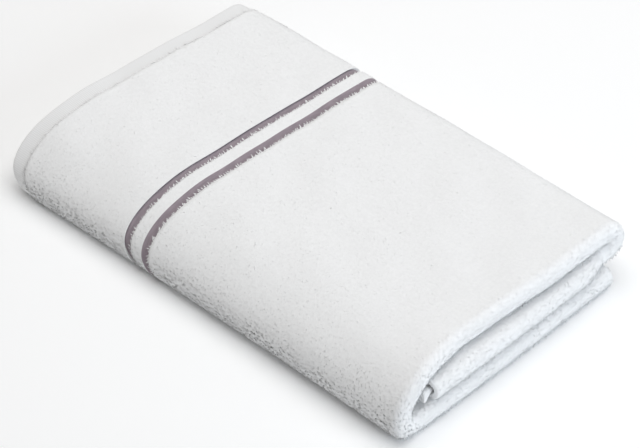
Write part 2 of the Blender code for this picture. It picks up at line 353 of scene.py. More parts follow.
def surface(s, t, out):
    """Points at a height out over the outer face's side of the mid-surface, with the frame there.

    Returns the points, the outward normals and the unit directions along s.
    """
    step_s, step_t = 0.3 * MM, 0.004
    s, t = np.broadcast_arrays(np.asarray(s, float), np.asarray(t, float))
    before, after = np.maximum(s - step_s, 0), np.minimum(s + step_s, CLOTH_LENGTH)
    lower, upper = np.maximum(t - step_t, EDGE_BELOW), np.minimum(t + step_t, EDGE_INSIDE)
    ahead = unit(folded(after, t) - folded(before, t))
    normal = unit(np.cross(ahead, folded(s, upper) - folded(s, lower)))
    return folded(s, t) + normal * np.asarray(out)[..., None], normal, ahead


# ---- the cloth and its woven strips

OVERHANG = 1.1 * MM               # before a strip, the crowded loops hang over its edge by this
EDGE = 0.3 * MM                   # the overhanging edge is rounded over this
BANK = 0.5 * MM                   # past a strip, the ground cloth rises over this
HAIR = 0.05 * MM                  # two rows of points this close make a sharp step
RIM = 1.2 * MM                    # the free edges are rounded over this
RIM_LEAST = 0.02                  # and the rounding stops this many rims short of a knife edge
RIM_STEPS = (0.1, 0.3, 0.6, 1.0)  # rows of points stand so many rims in from a free edge
CORNER_STEPS = (*RIM_STEPS, 1.7, 2.6, 4.0, 5.5, 7.0)    # and so many at the inner hem's corner
UNDERSIDE_SPAN = 150.0 * MM       # about the length of the cloth from t = 0 to 1
INSIDE_SPAN = 135.0 * MM          # and from t = 5 to 6
CORNER_WIDTH = 10.0 * MM          # the hems' overlap reaches this far from the free edge
CLOTH_FLOOR_GAP = 0.05 * MM       # under the towel, the cloth is pressed flat at this height
SECTION_STEPS = (22, 8, 30, 46, 20, 20)    # columns of points in each part of the section
WIDTH_SAMPLES = 601
GROUND, HEM, BAND = range(3)      # the cloth's material slots


def strips():
    """Flat woven strips across the cloth, each as (start, end, kind)."""
    cloth = settings("cloth")
    found = [(0.0, cloth.hem_width, HEM)]
    for centre, width in zip(cloth.band_centres, cloth.band_widths):
        found.append((centre - width / 2, centre + width / 2, BAND))
    other_end = [(CLOTH_LENGTH - end, CLOTH_LENGTH - start, kind) for start, end, kind in found]
    return found + other_end[::-1]


def half_thickness(s):
    """Half the cloth's thickness, without its loops."""
    cloth = settings("cloth")
    halves = (cloth.ground_thickness / 2, cloth.hem_thickness / 2, cloth.band_thickness / 2)
    places, heights = [], []
    for start, end, kind in strips():
        places += [start - HAIR, start, end, end + BANK]
        heights += [halves[GROUND], halves[kind], halves[kind], halves[GROUND]]
    return np.interp(s, places, heights)


def rim_height(s, t):
    """Share of the thickness left near a free edge, which is rounded."""
    across = np.minimum(t * UNDERSIDE_SPAN, (EDGE_INSIDE - t) * INSIDE_SPAN)
    inwards = np.minimum.reduce([s, CLOTH_LENGTH - s, across])
    return np.sqrt(1 - (1 - np.clip(inwards / RIM, RIM_LEAST, 1)) ** 2)


def corner_bulk(s, t):
    """Extra half thickness at the inner hem's corner, where two hems are folded over each other."""
    cloth = settings("cloth")
    to_hem = np.clip((s - CLOTH_LENGTH) / cloth.hem_width + 1, 0, 1)
    to_edge = np.clip((t - EDGE_INSIDE) * INSIDE_SPAN / CORNER_WIDTH + 1, 0, 1)
    round_off = np.sin(np.pi * to_hem ** 3).clip(0) * np.sin(np.pi * to_edge ** 3).clip(0)
    return cloth.corner_bulk * np.sqrt(round_off)


def cloth_rows():
    """Places along the cloth with a row of points: close where it shows, wide apart inside."""
    shown = settings("cloth").fineness
    bent, hidden = shown / 2, 4 * shown
    stretches = ((0, FOLD_START, shown), (FOLD_START, FOLD_END, bent), (FOLD_END, TUCK_START, hidden),
                 (TUCK_START, TUCK_END, bent), (TUCK_END, CLOTH_LENGTH, hidden))
    places = [np.linspace(a, b, math.ceil((b - a) / gap) + 1) for a, b, gap in stretches]
    for start, end, _ in strips():
        places.append([start - EDGE, start - HAIR, start, end, end + BANK])
    places += [RIM * np.array(RIM_STEPS), CLOTH_LENGTH - RIM * np.array(CORNER_STEPS)]
    places = np.unique(np.concatenate(places).clip(0, CLOTH_LENGTH))
    # Rows that nearly coincide would leave slivers between them.
    return places[np.append(True, np.diff(places) > 0.9 * HAIR)]


def undercut(s):
    """Places along the cloth, with the foot of each step down to a strip moved in under its edge."""
    moved = s.copy()
    for start, _, _ in strips():
        moved[np.isclose(s, start) & (s > 0)] -= OVERHANG
    return moved


def cloth_columns():
    """Places round the section with a column of points."""
    places = [np.linspace(t, t + 1, steps, endpoint=False) for t, steps in enumerate(SECTION_STEPS)]
    low, high = RIM * np.array(RIM_STEPS), RIM * np.array(CORNER_STEPS[:-2])
    places += [low / UNDERSIDE_SPAN, EDGE_INSIDE - high / INSIDE_SPAN, [EDGE_INSIDE]]
    return np.unique(np.concatenate(places))


def make_piece(name, points, faces, materials, slots=None):
    """A smooth mesh object from arrays: points (n, 3), and faces as arrays of (m, corners)."""
    mesh = bpy.data.meshes.new(name)
    sizes = np.concatenate([np.full(len(f), f.shape[1]) for f in faces])
    corners = np.concatenate([f.ravel() for f in faces])
    mesh.vertices.add(len(points))
    mesh.vertices.foreach_set("co", np.ascontiguousarray(points, np.float32).ravel())
    mesh.loops.add(len(corners))
    mesh.loops.foreach_set("vertex_index", corners.astype(np.int32))
    mesh.polygons.add(len(sizes))
    mesh.polygons.foreach_set("loop_start", (np.cumsum(sizes) - sizes).astype(np.int32))
    for material in materials:
        mesh.materials.append(material)
    if slots is not None:
        mesh.polygons.foreach_set("material_index", slots.astype(np.int32))
    mesh.update(calc_edges=True)
    mesh.validate()
    mesh.shade_smooth()
    piece = bpy.data.objects.new(name, mesh)
    bpy.context.scene.collection.objects.link(piece)
    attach(piece, BODY)
    return piece


def kinds_along(s):
    """The kind of weave at places along the cloth."""
    kinds = np.full(len(s), GROUND)
    for start, end, kind in strips():
        kinds[(s >= start) & (s <= end)] = kind
    return kinds


def make_cloth():
    """The cloth's two faces, the rim that joins them, and its weaves."""
    rows, columns = cloth_rows(), cloth_columns()
    s, t = np.meshgrid(rows, columns, indexing="ij")
    half = (half_thickness(s) + corner_bulk(s, t)) * rim_height(s, t)
    middle, normal, _ = surface(undercut(s), t, np.zeros_like(s))
    outer, inner = middle + normal * half[..., None], middle - normal * half[..., None]
    number = np.arange(s.size).reshape(s.shape)
    around = (number[:-1, :-1], number[1:, :-1], number[1:, 1:], number[:-1, 1:])
    quads = np.stack(around, -1).reshape(-1, 4)
    border = np.concatenate([number[:-1, 0], number[-1, :-1], number[:0:-1, -1], number[0, :0:-1]])
    after = np.roll(border, -1)
    rim = np.stack([after, border, border + s.size, after + s.size], -1)
    points = np.concatenate([outer.reshape(-1, 3), inner.reshape(-1, 3)])
    points[:, 2] = np.maximum(points[:, 2], CLOTH_FLOOR_GAP)
    kinds = np.repeat(kinds_along((rows[:-1] + rows[1:]) / 2), len(columns) - 1)
    rim_kinds = kinds_along(np.tile(s.ravel(), 2)[border])
    cloth = make_piece("towel_cloth", points, [quads, quads[:, ::-1] + s.size, rim],
                       [terry_ground(), hem_plain_weave(), mauve_band()],
                       np.concatenate([kinds, kinds, rim_kinds]))
    place = np.tile(np.stack([s, width_places(t)], -1).reshape(-1, 2), (2, 1))
    corners = np.empty(len(cloth.data.loops), np.int32)
    cloth.data.loops.foreach_get("vertex_index", corners)
    flat = cloth.data.uv_layers.new(name="cloth")
    flat.uv.foreach_set("vector", place[corners].astype(np.float32).ravel())
    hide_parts(NODE)


def distances(line):
    """How far each point of a line is from its start, along the line."""
    return np.append(0, np.cumsum(np.linalg.norm(np.diff(line, axis=0), axis=1)))


def width_places(t):
    """Distance across the flat cloth, in metres, at a place round the section."""
    fine = np.linspace(0, EDGE_INSIDE, WIDTH_SAMPLES)
    line = lengthwise_fold(np.full_like(fine, STACK_LENGTH / 2), fine)
    return np.interp(t, fine, distances(line))


# ---- strands of yarn

SIDES = 3
RINGS = 3
SHARE = np.linspace(0, 1, RINGS + 2)    # of the way along a strand
FIBRE_SOFTNESS = 0.85             # the share of a strand's shading that it takes from the cloth


def make_strands(name, lines, side, radius, facing, material):
    """Closed strands of yarn round their lines (strand, point, axis), RINGS + 2 points in each.

    Loose cotton fibres pass light on, so a strand is shaded nearly as the cloth under it, which
    faces the way in facing. A shorter vector there lets more of the strand's own shape show.
    """
    way = unit(np.gradient(lines, axis=1))
    side = unit(np.cross(np.cross(way, side[:, None]), way))
    turn = (2 * np.pi * np.arange(SIDES) / SIDES)[:, None]
    across = np.cross(way, side)
    spokes = side[:, 1:-1, None] * np.cos(turn) + across[:, 1:-1, None] * np.sin(turn)
    rings = lines[:, 1:-1, None] + spokes * radius[:, :, None, None]
    count = len(lines)
    points = np.concatenate([lines[:, :1], rings.reshape(count, -1, 3), lines[:, -1:]], axis=1)
    number = 1 + np.arange(RINGS * SIDES).reshape(RINGS, SIDES)
    beside = np.roll(number, -1, axis=1)
    quads = np.stack([number[:-1], beside[:-1], beside[1:], number[1:]], -1).reshape(-1, 4)
    last = RINGS * SIDES + 1
    ends = np.concatenate([np.stack([np.zeros(SIDES, int), beside[0], number[0]], -1),
                           np.stack([np.full(SIDES, last), number[-1], beside[-1]], -1)])
    first = np.arange(count)[:, None, None] * (last + 1)
    faces = [(quads + first).reshape(-1, 4), (ends + first).reshape(-1, 3)]
    piece = make_piece(name, points.reshape(-1, 3), faces, [material])
    own = np.empty(count * (last + 1) * 3, np.float32)
    piece.data.vertices.foreach_get("normal", own)
    under = np.repeat(facing, last + 1, axis=0)
    shaded = (1 - FIBRE_SOFTNESS) * own.reshape(-1, 3) + FIBRE_SOFTNESS * under
    piece.data.normals_split_custom_set_from_vertices(unit(shaded))


def joined(parts):
    """Lines, sides, radii and facing vectors of several sets of strands, joined into one set."""
    return [np.concatenate(arrays) for arrays in zip(*parts)]


# ---- the pile

SINK = 0.4 * MM                   # the loops' feet are this deep in the ground cloth
FLOOR_GAP = 0.35 * MM             # loops under the towel are pressed flat at this height
TUFT_FLOOR_GAP = 0.7              # and the tufts at this share of their thickness
NAP_TURN = math.radians(165)      # the nap leans towards the hem and a little up the near side
ROW_SAMPLES, SECTION_SAMPLES = 120, 480
RISE_POWER = 0.7                  # the lower, the sooner a loop reaches its full height
ARCH_STRAY = 0.5                  # how far a loop's plane strays from square to its lean, in radians
HEIGHT_STRAY, HEIGHT_RANGE = 0.14, (0.6, 1.4)
LEAN_RANGE, WIDTH_RANGE, YARN_RANGE = (0.4, 1.4), (0.5, 1.5), (0.8, 1.2)
FOOT_YARN, TIP_YARN = 1.4, 0.8    # a loop's thickness at its feet and its tip, in yarns

# Where nothing presses on the pile, it stands: half of its loops longer, upright and seen singly.
STANDING = 0.25                   # how fully it stands where the cloth faces sideways
FACING_GAIN = 2.0                 # it is fully pressed where the normal's upward part is half of it
FUR_SHARE, FUR_RANGE = 0.5, (0.6, 1.0)
FUR_UPRIGHT, FUR_OWN_SHADE = 0.8, 0.45

# Tufts beside a strip.
TUFT_ROOT = 0.3 * MM              # they stand this far past its bank
TUFT_GAP_RANGE, TUFT_REACH_RANGE = (0.45, 1.55), (0.55, 1.35)
TUFT_TURN = 0.3                   # in radians
TUFT_HIDDEN, TUFT_DROP = 0.35, 0.25    # shares of their reach: back in the pile, and down
TUFT_FOOT, TUFT_TAPER = 1.15, 0.75

# Places round the section: the outer panel comes out under the near roll and goes in under the
# far one. Outside the two low and high places lie the free long edges.
COMES_OUT, GOES_IN = 0.88, FAR_ROLL + 1.08
EDGE_LOW, EDGE_HIGH = 0.02, EDGE_INSIDE - 0.02
SELVAGE_RIM = 0.002
BEFORE_FOLD, PAST_FOLD, ROUND_TUCK = 6 * MM, 4 * MM, 3 * MM


def terry_stretches(start, end):
    """The stretches from start to end along the cloth that have loops."""
    stretches, at = [], start
    for a, b, _ in strips():
        if b <= start or a >= end:
            continue
        if a > at:
            stretches.append((at, a))
        at = max(at, b)
    return stretches + ([(at, end)] if at < end else [])


def even_rows(start, end, t, size):
    """Places along the cloth that lie a pitch apart on its outer face."""
    fine = np.linspace(start, end, ROW_SAMPLES)
    face, _, _ = surface(fine, np.full_like(fine, t), half_thickness(fine))
    lengths = distances(face)
    count = max(2, round(lengths[-1] / (size * settings("pile").pitch)) + 1)
    return np.interp(np.linspace(0, lengths[-1], count), lengths, fine)


def scatter(start, end, t_from, t_to, rng, size):
    """Roots of loops between two places along and round, about a pitch apart: (s, t)."""
    pile = settings("pile")
    pitch = size * pile.pitch
    found_s, found_t = [], []
    fine = np.linspace(t_from, t_to, SECTION_SAMPLES)
    for a, b in terry_stretches(start, end):
        a, b = a + pile.fringe, b - pile.border
        rows = even_rows(a, b, (t_from + t_to) / 2, size)
        faces, _, _ = surface(rows[:, None], fine[None, :], half_thickness(rows)[:, None])
        steps = np.linalg.norm(np.diff(faces, axis=1), axis=-1)
        for row, lengths in zip(rows, np.cumsum(steps, axis=1)):
            count = int(lengths[-1] / pitch)
            shift = rng.random() + rng.uniform(-pile.disorder, pile.disorder, count)
            places = (np.arange(count) + shift) * pitch
            found_t.append(np.interp(places, np.append(0, lengths), fine))
            stray = rng.uniform(-pile.disorder, pile.disorder, count) * pitch
            found_s.append(np.clip(row + stray, a, b))
    return np.concatenate(found_s), np.concatenate(found_t)


def turned(ahead, aside, turn):
    """Directions in the cloth, turned by these angles from ahead towards aside."""
    return ahead * np.cos(turn)[:, None] + aside * np.sin(turn)[:, None]


def loop_lines(s, t, face, rng, size, fur):
    """Centre lines of the loops rooted at places on a face, 1 the outer or -1 the inner one."""
    pile = settings("pile")
    count = len(s)
    ground = half_thickness(s) * rim_height(s, t)
    root, normal, ahead = surface(s, t, face * ground)
    normal = normal * face
    aside = np.cross(normal, ahead) * face
    place = np.stack([s, width_places(t)], -1)
    turn = NAP_TURN + pile.brush * soft_waves(place, pile.brush_length, seed=NAP_SEED)
    turn += rng.normal(0, pile.stray, count)
    lean = turned(ahead, aside, turn)
    arch = turned(ahead, aside, turn + np.pi / 2 + rng.normal(0, ARCH_STRAY, count))
    facing_up = FACING_GAIN * normal[:, 2]
    pressed = pile.pressed * np.clip(facing_up, 0, 1)
    height = (pile.tips - pressed - ground) * rng.normal(1, HEIGHT_STRAY, count).clip(*HEIGHT_RANGE)
    standing = np.clip(STANDING - facing_up, 0, 1) * (fur > 0)
    height += fur * standing * (rng.random(count) < FUR_SHARE) * rng.uniform(*FUR_RANGE, count)
    wide = size * pile.width * rng.uniform(*WIDTH_RANGE, count)
    tilt = size * pile.lean * rng.uniform(*LEAN_RANGE, count) * (1 - FUR_UPRIGHT * standing)
    curl = size * pile.curl * rng.uniform(-1, 1, count)
    rise = np.sin(np.pi * SHARE) ** RISE_POWER
    lines = (root[:, None] + arch[:, None] * (wide[:, None] * (SHARE - 0.5))[..., None]
             + lean[:, None] * (tilt[:, None] * rise ** 2)[..., None]
             + arch[:, None] * (curl[:, None] * np.sin(2 * np.pi * SHARE))[..., None]
             + normal[:, None] * ((height + SINK)[:, None] * rise - SINK)[..., None])
    lines[..., 2] = np.maximum(lines[..., 2], FLOOR_GAP)
    yarns = FOOT_YARN + (TIP_YARN - FOOT_YARN) * rise[1:-1]
    radius = size * pile.yarn / 2 * yarns * rng.uniform(*YARN_RANGE, (count, 1))
    return lines, np.cross(normal, lean), radius, normal * (1 - FUR_OWN_SHADE * standing)[:, None]


def fringe_lines(start, rng):
    """Centre lines of the loops past a strip that ends at start: tufts that lean out over it."""
    pile = settings("pile")
    fine = np.linspace(COMES_OUT, GOES_IN, SECTION_SAMPLES)
    rim = start + BANK + TUFT_ROOT
    lengths = distances(folded(np.full_like(fine, rim), fine))
    plenty = int(1.2 * lengths[-1] / pile.tuft_gap)
    places = np.cumsum(pile.tuft_gap * rng.uniform(*TUFT_GAP_RANGE, plenty))
    t = np.interp(places[places < lengths[-1]], lengths, fine)
    s = np.full_like(t, rim)
    root, normal, ahead = surface(s, t, half_thickness(s) - pile.tuft / 2)
    aside = np.cross(normal, ahead)
    out = turned(-ahead, aside, rng.normal(0, TUFT_TURN, len(t)))
    reach = pile.tuft_reach * rng.uniform(*TUFT_REACH_RANGE, len(t))
    share = np.linspace(-TUFT_HIDDEN, 1, RINGS + 2)
    shown = np.maximum(share, 0)
    drop = TUFT_DROP * shown ** 2
    lines = (root[:, None] + out[:, None] * (reach[:, None] * share)[..., None]
             - normal[:, None] * (reach[:, None] * drop)[..., None])
    lines[..., 2] = np.maximum(lines[..., 2], TUFT_FLOOR_GAP * pile.tuft)
    taper = TUFT_FOOT - TUFT_TAPER * shown[1:-1]
    radius = pile.tuft / 2 * taper * rng.uniform(*YARN_RANGE, (len(t), 1))
    return lines, aside, radius, normal


LOOPS_IN_A_PIECE = 11000
PLAIN, FINE, COARSE = 1.0, 0.9, 1.3    # sizes of the loops: those at the folded end are fine


def pile_regions():
    """Each region's name, size of loop, fur and stretches: s from and to, t from and to, face."""
    hem, fur = settings("cloth").hem_width, settings("pile").fur
    outer = [(hem, FOLD_START, COMES_OUT, GOES_IN, 1)]
    folded_end = [(FOLD_START - BEFORE_FOLD, FOLD_START, EDGE_LOW, COMES_OUT, 1),
                  (FOLD_START - BEFORE_FOLD, FOLD_START, GOES_IN, EDGE_HIGH, 1),
                  (FOLD_START, FOLD_END + PAST_FOLD, EDGE_LOW, EDGE_HIGH, 1)]
    tucked_end = [(TUCK_START - ROUND_TUCK, TUCK_END + ROUND_TUCK, EDGE_LOW, EDGE_HIGH, 1)]
    selvages = [(hem, CLOTH_LENGTH - hem, low, high, face)
                for low, high in ((SELVAGE_RIM, EDGE_LOW), (EDGE_HIGH, EDGE_INSIDE - SELVAGE_RIM))
                for face in (1, -1)]
    return (("pile_outer", PLAIN, 0.0, outer), ("pile_folded_end", FINE, fur, folded_end),
            ("pile_tucked_end", COARSE, 0.0, tucked_end), ("pile_selvages", PLAIN, 0.0, selvages))


def make_pile():
    """All loops that show, joined into a few pieces."""
    rng = np.random.default_rng(PILE_SEED)
    material = terry_loops()
    regions = []
    for name, size, fur, stretches in pile_regions():
        roots = [(*scatter(*stretch[:4], rng, size), stretch[4]) for stretch in stretches]
        regions.append((name, size, fur, roots))
    tufts = [fringe_lines(end, rng) for _, end, _ in strips() if end < FOLD_START]
    make_strands("pile_fringe", *joined(tufts), material)
    for name, size, fur, roots in regions:
        strands = joined([loop_lines(*root, rng, size, fur) for root in roots])
        order = np.argsort(np.concatenate([root[0] for root in roots]), kind="stable")
        groups = np.array_split(order, math.ceil(len(order) / LOOPS_IN_A_PIECE))
        for number, chosen in enumerate(groups, start=1):
            piece_name = f"{name}_{number}" if len(groups) > 1 else name
            make_strands(piece_name, *(array[chosen] for array in strands), material)


# ---- the hems' stitching

SEAM_SAMPLES, SEAM_END = 2400, 0.01
STITCH_GAP = 0.06                 # share of a stitch's length that is hidden at each end
STITCH_SUNK, STITCH_RISE = 0.62, 0.25    # in threads: its ends lie deep, its middle rises
STITCH_STRAY = 0.05 * MM


def make_stitching():
    """Lockstitches through both hems, on both faces."""
    stitch = settings("stitching")
    hem = settings("cloth").hem_width
    rng = np.random.default_rng(STITCH_SEED)
    fine = np.linspace(SEAM_END, EDGE_INSIDE - SEAM_END, SEAM_SAMPLES)
    rise = STITCH_RISE * np.sin(np.pi * SHARE).clip(0) ** 0.5
    seams = []
    for s in (hem - stitch.inset, CLOTH_LENGTH - hem + stitch.inset):
        lengths = distances(folded(np.full_like(fine, s), fine))
        starts = np.arange(0, lengths[-1] - stitch.length, stitch.length)
        share = STITCH_GAP + (1 - 2 * STITCH_GAP) * SHARE
        t = np.interp(starts[:, None] + stitch.length * share, lengths, fine)
        s = np.full_like(t, s)
        for face in (1, -1):
            height = half_thickness(s) + stitch.thread * (rise - STITCH_SUNK)
            points, normal, ahead = surface(s, t, face * height)
            points += ahead * rng.normal(0, STITCH_STRAY, (len(starts), 1, 1))
            radius = np.full((len(starts), RINGS), stitch.thread / 2)
            seams.append((points, ahead[:, 0], radius, normal[:, 0] * face))
    make_strands("hem_stitching", *joined(seams), sewing_thread())


# ---- materials

def node(tree, kind, inputs, **options):
    """Adds a node with its options. An input is a value, or another node's output to link."""
    made = tree.nodes.new(kind)
    for name, value in options.items():
        setattr(made, name, value)
    for socket, value in inputs.items():
        if isinstance(value, bpy.types.NodeSocket):
            tree.links.new(value, made.inputs[socket])
        else:
            made.inputs[socket].default_value = value
    return made


def cotton(name, roughness, sheen):
    """A matt cotton shader with no pattern yet: (material, its tree, its shader's inputs)."""
    material = bpy.data.materials.new(name)
    material.use_nodes = True
    shader = material.node_tree.nodes["Principled BSDF"]
    shader.inputs["Roughness"].default_value = roughness
    shader.inputs["IOR"].default_value = 1.5
    shader.inputs["Specular IOR Level"].default_value = 0.2
    shader.inputs["Sheen Weight"].default_value = sheen
    shader.inputs["Sheen Roughness"].default_value = 0.6
    return material, material.node_tree, shader.inputs


def on_cloth(tree):
    """A place on the flat cloth, in metres along and across it."""
    return node(tree, "ShaderNodeUVMap", {}, uv_map="cloth").outputs["UV"]


def grains(tree, size, detail=2.0, place=None):
    """An uneven pattern with grains of this size, in the towel's own space or at a given place."""
    place = place or node(tree, "ShaderNodeTexCoord", {}).outputs["Object"]
    made = node(tree, "ShaderNodeTexNoise", {"Vector": place, "Scale": 1 / size, "Detail": detail})
    return made.outputs["Fac"]


def ribs(tree, place, pitch, axis, distortion, detail):
    """Ribs this far apart. The wave texture draws 20 radians in each unit."""
    scale = 2 * math.pi / (20 * pitch)
    inputs = {"Vector": place, "Scale": scale, "Distortion": distortion, "Detail": detail}
    return node(tree, "ShaderNodeTexWave", inputs, bands_direction=axis).outputs["Fac"]


def tint(tree, shader, share, low, high):
    """Colours the shader between two of the towel's colours, at a share from a pattern."""
    ramp = node(tree, "ShaderNodeValToRGB", {"Fac": share})
    for end, place, name in zip(ramp.color_ramp.elements, (0.25, 0.75), (low, high)):
        end.position = place
        end.color = (*getattr(settings("colours"), name), 1)
    tree.links.new(ramp.outputs["Color"], shader["Base Color"])


def raise_relief(tree, shader, height, distance, strength):
    """Gives the shader the relief of a pattern."""
    bump = node(tree, "ShaderNodeBump", {"Height": height, "Distance": distance, "Strength": strength})
    tree.links.new(bump.outputs["Normal"], shader["Normal"])


def terry_loops():
    """Ring-spun cotton terry loops: very matt, bright white, softened by loose fibres' sheen."""
    material, tree, shader = cotton("terry cotton loops", roughness=0.95, sheen=0.12)
    mottle = grains(tree, 18 * MM)
    tint(tree, shader, mottle, "terry_shade", "terry")
    return material


def terry_ground():
    """The woven ground between the loops' feet: the same cotton, seen in their shade."""
    material, tree, shader = cotton("terry cotton ground", roughness=0.95, sheen=0.05)
    tufts = grains(tree, 1.8 * MM, detail=3.0)
    tint(tree, shader, tufts, "terry_shade", "terry")
    raise_relief(tree, shader, tufts, distance=0.3 * MM, strength=0.4)
    return material


def hem_plain_weave():
    """Plain-woven cotton, folded double: flat, with fine crossing threads and painted shade between
    them.
    """
    material, tree, shader = cotton("plain woven cotton hem", roughness=0.85, sheen=0.05)
    place = on_cloth(tree)
    pitch = 0.9 * MM              # real threads are 0.4 mm apart, too fine to show at this size
    threads = {number: ribs(tree, place, pitch, axis, distortion=0.6, detail=1.0)
               for number, axis in enumerate("XY")}
    crossing = node(tree, "ShaderNodeMath", threads, operation="MULTIPLY").outputs["Value"]
    # painted shade: the gaps between the crossing threads are coloured darker than the threads
    tint(tree, shader, crossing, "hem_painted_shade", "hem")
    raise_relief(tree, shader, crossing, distance=0.12 * MM, strength=0.3)
    return material


def mauve_band():
    """Dyed cotton weft floats, packed side by side: a smooth band with a faint streaky lustre."""
    material, tree, shader = cotton("woven mauve cotton band", roughness=0.7, sheen=0.2)
    place = on_cloth(tree)
    pitch = 0.7 * MM              # real floats are 0.35 mm apart, too fine to show at this size
    floats = ribs(tree, place, pitch, "X", distortion=1.5, detail=2.0)
    streak = (1 / (1.5 * MM), 1 / (7 * MM), 1)
    stretched = node(tree, "ShaderNodeMapping", {"Vector": place, "Scale": streak})
    streaks = grains(tree, 1.0, place=stretched.outputs["Vector"])
    tint(tree, shader, streaks, "band_shade", "band")
    raise_relief(tree, shader, floats, distance=0.15 * MM, strength=0.6)
    return material


def sewing_thread():
    """Spun polyester sewing thread: white, tighter and a little glossier than the cotton, but coloured
    grey as painted shade.
    """
    material, tree, shader = cotton("spun polyester sewing thread", roughness=0.55, sheen=0.05)
    twist = grains(tree, 0.8 * MM)
    # painted shade: the white thread is coloured grey, for the shade where the stitches sink into the
    # hem
    tint(tree, shader, twist, "thread", "hem_painted_shade")
    return material


def seamless_paper():
    """White seamless background paper: matt, with a faint tooth."""
    material, tree, shader = cotton("white seamless paper", roughness=0.9, sheen=0.0)
    shader["Base Color"].default_value = (*settings("colours").paper, 1)
    tooth = grains(tree, 2 * MM)
    raise_relief(tree, shader, tooth, distance=0.05 * MM, strength=0.2)
    return material


# ---- the studio

CAMERA_AZIMUTH = math.radians(42.45)
CAMERA_ELEVATION = math.radians(42.95)
CAMERA_ROLL = math.radians(0.59)
CAMERA_DISTANCE = 1.338
CAMERA_TARGET = Vector((4.1, -0.3, 18.1)) * MM
CAMERA_LENS = 140.5
CAMERA_SHIFT = (0.0034, -0.0270)
FLOOR_RADIUS, FLOOR_SIDES = 3.0, 96
OVERHEAD = {"place": (-0.1, 0.22, 1.4), "size": 1.6, "colour": (1.0, 0.992, 0.985)}
RIGHT = {"place": (1.15, 0.1, 0.3), "size": 0.9, "colour": (0.84, 0.92, 1.0)}
AIR = (1.0, 0.97, 0.93, 1)


def make_floor():
    mesh = bpy.data.meshes.new("paper_floor")
    turn = 2 * np.pi * np.arange(FLOOR_SIDES) / FLOOR_SIDES
    rim = [(FLOOR_RADIUS * math.cos(a), FLOOR_RADIUS * math.sin(a), 0.0) for a in turn]
    mesh.from_pydata(rim, [], [tuple(range(FLOOR_SIDES))])
    mesh.materials.append(seamless_paper())
    floor = bpy.data.objects.new("paper_floor", mesh)
    bpy.context.scene.collection.objects.link(floor)


def add_light(name, power, place, size, colour):
    """A square soft light that faces the towel."""
    light = bpy.data.lights.new(name, "AREA")
    light.shape = "SQUARE"
    light.size = size
    light.energy = power
    light.color = colour
    lamp = bpy.data.objects.new(name, light)
    lamp.location = place
    lamp.rotation_euler = (-Vector(place)).to_track_quat("-Z", "Y").to_euler()
    bpy.context.scene.collection.objects.link(lamp)


def make_lights():
    studio = settings("studio")
    add_light("overhead_softbox", studio.overhead, **OVERHEAD)
    add_light("right_softbox", studio.right, **RIGHT)
    world = bpy.data.worlds.new("studio air")
    world.use_nodes = True
    background = world.node_tree.nodes["Background"]
    background.inputs["Color"].default_value = AIR
    background.inputs["Strength"].default_value = studio.ambient
    bpy.context.scene.world = world
    bpy.context.scene.view_settings.view_transform = "Standard"


def make_camera():
    level, up = math.cos(CAMERA_ELEVATION), math.sin(CAMERA_ELEVATION)
    back = Vector((level * math.sin(CAMERA_AZIMUTH), -level * math.cos(CAMERA_AZIMUTH), up))
    camera = bpy.data.objects.new("camera", bpy.data.cameras.new("camera"))
    looking = (-back).to_track_quat("-Z", "Y").to_matrix() @ Matrix.Rotation(CAMERA_ROLL, 3, "Z")
    camera.matrix_world = Matrix.LocRotScale(CAMERA_TARGET + back * CAMERA_DISTANCE, looking, None)
    camera.data.lens = CAMERA_LENS
    camera.data.shift_x, camera.data.shift_y = CAMERA_SHIFT
    camera.data.clip_end = 10 * CAMERA_DISTANCE
    bpy.context.scene.collection.objects.link(camera)
    bpy.context.scene.camera = camera


# ---- the add-on

def length(name, description, default):
    return FloatProperty(name=name, description=description, default=default, unit="LENGTH", precision=4)


def two_lengths(name, description, default):
    return FloatVectorProperty(name=name, description=description, default=default, size=2,
                               unit="LENGTH", precision=4)


def turning(name, description, default):
    return FloatProperty(name=name, description=description, default=default, subtype="ANGLE")


def power(name, description, default):
    return FloatProperty(name=name, description=description, default=default, unit="POWER")


def colour(name, description, code):
    return FloatVectorProperty(name=name, description=description, default=linear(code),
                               subtype="COLOR", min=0, max=1)


class TowelCloth(bpy.types.PropertyGroup):
    """The cloth and its flat woven strips."""
    hem_width: length("Hem width", "Width of the flat hem at each short end", 10.0 * MM)
    hem_thickness: length("Hem thickness", "The hem is folded double", 2.2 * MM)
    band_centres: two_lengths("Band places", "Middle of each band, from the hem's edge",
                              (89.4 * MM, 102.4 * MM))
    band_widths: two_lengths("Band widths", "Width of each band between the loops", (4.4 * MM, 4.8 * MM))
    corner_bulk: length("Corner bulk", "How much the hems' overlap adds to each face", 2.6 * MM)
    band_thickness: length("Band thickness", "The bands have no loops", 1.0 * MM)
    ground_thickness: length("Ground thickness", "The terry without its loops' tips", 3.7 * MM)
    fineness: length("Fineness", "Distance between the cloth's rows of points", 2.4 * MM)
    wander: length("Wander", "How far the sides stray from their smooth line", 0.35 * MM)
    swell: length("Swell", "How far the top rises and falls", 0.45 * MM)
    swell_length: length("Swell length", "Size of the largest soft unevenness", 95.0 * MM)


